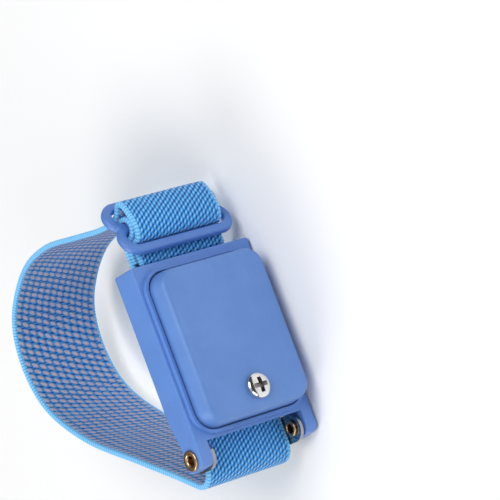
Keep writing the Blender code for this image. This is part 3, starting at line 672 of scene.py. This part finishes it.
band = {"thick": 1.2, "rows": 2, "round": 0.42, "barX": 19.3, "barY": 4.35, "turn": 1.7,
        "sewn": 2.05, "bendX": -20.6, "bendY": 9.6, "bend": 3.3,
        "roll": ((-4.2, -0.3), (-3.8, -1.25), (-2.64, -2.57), (-0.7, -3.35), (1.4, -3.6), (2.8, -3.6),
                 (3.8, -3.4), (4.45, -2.9), (4.65, -2.2), (4.45, -1.6), (4.2, -1.1), (4.03, -0.5),
                 (3.92, 0.1), (3.88, 0.7), (4.20, 2.1)),
        "loop": ((34.05, 7.5), (33.8, 9.0), (34.1, 13.8), (35.4, 22.0), (37.2, 35.0), (35.2, 46.3),
                 (27.5, 56.6), (17.3, 59.7), (6.2, 56.6), (-4.0, 45.8), (-12.5, 30.7), (-19.0, 18.9),
                 (-23.4, 11.35), (-23.9, 9.8)),
        "crimped": ((-18.0, 6.3), (-15.0, 6.3), (-13.2, 6.3), (-9.0, 6.3), (-5.2, 6.3)),
        "leaveX": 22.9, "frontEndX": 26.8, "backEndX": 25.0, "layerGap": 0.15}


def ribbon(name, path, start, rideOn, nodes, blendBetween=None):
    # webbing along a path, with its outside on the right of the way it runs;
    # start is how far along the whole band it begins
    halfWidth = webbing["halfWidth"]
    bm = bmesh.new()
    along = bm.verts.layers.float.new("along")
    points = [bm.verts.new((x, y, -halfWidth)) for x, y in path]
    rail = [bm.edges.new(pair) for pair in zip(points, points[1:])]
    gone = start
    for point, before in zip(points, points[:1] + points):
        gone += (point.co - before.co).length
        point[along] = gone
    for row in range(band["rows"]):
        grown = bmesh.ops.extrude_edge_only(bm, edges=rail)["geom"]
        moved = [v for v in grown if isinstance(v, bmesh.types.BMVert)]
        bmesh.ops.translate(bm, verts=moved, vec=(0, 0, 2 * halfWidth / band["rows"]))
        level = max(v.co.z for v in moved)
        rail = [e for e in grown if isinstance(e, bmesh.types.BMEdge)
                and all(abs(v.co.z - level) < 0.001 for v in e.verts)]
    bmesh.ops.recalc_face_normals(bm, faces=bm.faces)
    first = [f for f in bm.faces if points[0] in f.verts][0]
    run = points[1].co - points[0].co
    if first.normal.dot(Vector((run.y, -run.x, 0))) < 0:
        bmesh.ops.reverse_faces(bm, faces=bm.faces[:])
    weave = bm.loops.layers.uv.new("weave")
    for face in bm.faces:
        for loop in face.loops:
            loop[weave].uv = (loop.vert[along], loop.vert.co.z)
    piece = finishMesh(name, bm, [webbingOutside, webbingInside], 60)
    body = piece.modifiers.new("thickness", "SOLIDIFY")
    body.thickness = band["thick"] * mm
    body.offset = 0
    body.use_even_offset = True
    body.material_offset = 1
    body.material_offset_rim = 0
    soft = piece.modifiers.new("rounding", "BEVEL")
    soft.width = band["round"] * mm
    soft.segments = 4
    soft.limit_method = "ANGLE"
    soft.angle_limit = math.radians(60)
    settle(piece, 60)
    if blendBetween:
        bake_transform(piece)
    else:
        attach(piece, rideOn)
    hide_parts(*nodes)
    return gone


def makeBand():
    b = band
    frontY = b["barY"] - b["turn"]
    backY = b["barY"] + b["turn"]
    tailY = backY - b["thick"] - b["layerGap"]
    leaveX, frontEndX, backEndX = b["leaveX"], b["frontEndX"], b["backEndX"]
    centre = (slider["x"], slider["y"])
    lean = Matrix.Rotation(math.radians(slider["tilt"]), 2)
    roll = [tuple(Vector(centre) + lean @ Vector(point)) for point in smoothPath(b["roll"], 5)]
    wrist = smoothPath(b["loop"], 10)[:-1]
    wrist += arc((b["bendX"], b["bendY"]), b["bend"], 150, 270, 24)
    wrist += b["crimped"]
    turnOver = [(frontEndX, frontY + 0.2), (27.2, frontY + 0.15), (27.55, 2.62), (27.85, 2.05), (27.9, 1.4)]
    turnOver += roll + list(b["loop"][:2])
    front = [(leaveX, frontY), (24.8, frontY + 0.08), (frontEndX, frontY + 0.2)]
    caseTurn = [(leaveX, backY)] + arc((b["barX"], b["barY"]), b["turn"], 90, 270, 24) + [(leaveX, frontY)]
    back = [(backEndX, backY - 0.05), (leaveX, backY)]
    sewn = [(23.6, tailY), (27.3, tailY), (28.2, 4.4), (28.9, 3.8)]
    sewn += arc(centre, b["sewn"], -172, 90, 36)
    sewn += [(29.7, 5.6), (27.2, backY - 0.1), (backEndX, backY - 0.05)]
    gone = ribbon("sewnEnd", sewn, 0.0, "strap_turn", ["band_sewn_end"])
    gone = ribbon("backLayer", back, gone, None, ["band_back_layer"],
                  ("case", "strap_turn", (leaveX, backY, 0), (backEndX, backY, 0)))
    gone = ribbon("caseTurn", caseTurn, gone, "case", ["band_case_turn"])
    gone = ribbon("frontLayer", front, gone, None, ["band_front_layer"],
                  ("case", "strap_turn", (leaveX, frontY, 0), (frontEndX, frontY, 0)))
    gone = ribbon("sliderTurn", turnOver, gone, "strap_turn", ["band_slider_turn"])
    ribbon("wristBand", wrist, gone, None, ["wrist_band"],
           ("case", "strap_turn", (20.0, 30.0, 0), (*b["loop"][1], 0)))


print("band")
makeBand()


stage = {"floor": 3.0, "worldLight": 0.62, "horizon": (0.10, 0.10, 0.11), "darkBelow": 0.45,
         "lightAbove": 0.85,
         "lamps": (("keyLamp", (0.30, -0.40, 0.66), 0.60, 3.7), ("fillLamp", (-0.55, -0.50, 0.36), 0.6, 1.5),
                   ("backLamp", (-0.45, 0.35, 0.60), 0.5, 2.6)),
         "aim": (0.0116, -0.0350, 0.0074), "distance": 0.632, "elevation": 36.06, "azimuth": -8.57,
         "roll": -105.6, "lens": 220.3}


def makeStage():
    bm = bmesh.new()
    bmesh.ops.create_grid(bm, x_segments=1, y_segments=1, size=stage["floor"])
    data = bpy.data.meshes.new("floor")
    bm.to_mesh(data)
    bm.free()
    floor = bpy.data.objects.new("floor", data)
    bpy.context.scene.collection.objects.link(floor)
    made, tree, shader = newMaterial("paleFloor", Roughness=0.6)
    shader["Base Color"].default_value = (0.95, 0.95, 0.95, 1)
    data.materials.append(made)
    world = bpy.data.worlds.new("softRoom")
    world.use_nodes = True
    tree = world.node_tree
    direction = tree.nodes.new("ShaderNodeSeparateXYZ")
    tree.links.new(tree.nodes.new("ShaderNodeTexCoord").outputs["Generated"], direction.inputs["Vector"])
    height = smoothStep(tree, direction.outputs["Z"], stage["darkBelow"], stage["lightAbove"])
    sky = mixColour(tree, height, stage["horizon"], (1.0, 1.0, 1.0))
    tree.links.new(sky, tree.nodes["Background"].inputs["Color"])
    tree.nodes["Background"].inputs["Strength"].default_value = stage["worldLight"]
    bpy.context.scene.world = world
    bpy.context.scene.view_settings.view_transform = "Standard"
    middle = (cadLow + cadHigh) / 2
    for name, place, size, power in stage["lamps"]:
        lamp = bpy.data.lights.new(name, "AREA")
        lamp.shape = "DISK"
        lamp.size = size
        lamp.energy = power
        holder = bpy.data.objects.new(name, lamp)
        holder.location = place
        holder.rotation_euler = (Vector(place) - middle).to_track_quat("Z", "Y").to_euler()
        bpy.context.scene.collection.objects.link(holder)


def makeCamera():
    side = math.radians(stage["azimuth"])
    up = math.radians(stage["elevation"])
    back = Vector((math.sin(side) * math.cos(up), -math.cos(side) * math.cos(up), math.sin(up)))
    data = bpy.data.cameras.new("camera")
    data.lens = stage["lens"]
    data.sensor_width = 36
    camera = bpy.data.objects.new("camera", data)
    turn = back.to_track_quat("Z", "Y").to_matrix() @ Matrix.Rotation(math.radians(stage["roll"]), 3, "Z")
    camera.rotation_euler = turn.to_euler()
    camera.location = Vector(stage["aim"]) + back * stage["distance"]
    bpy.context.scene.collection.objects.link(camera)
    bpy.context.scene.camera = camera


print("stage")
makeStage()
makeCamera()
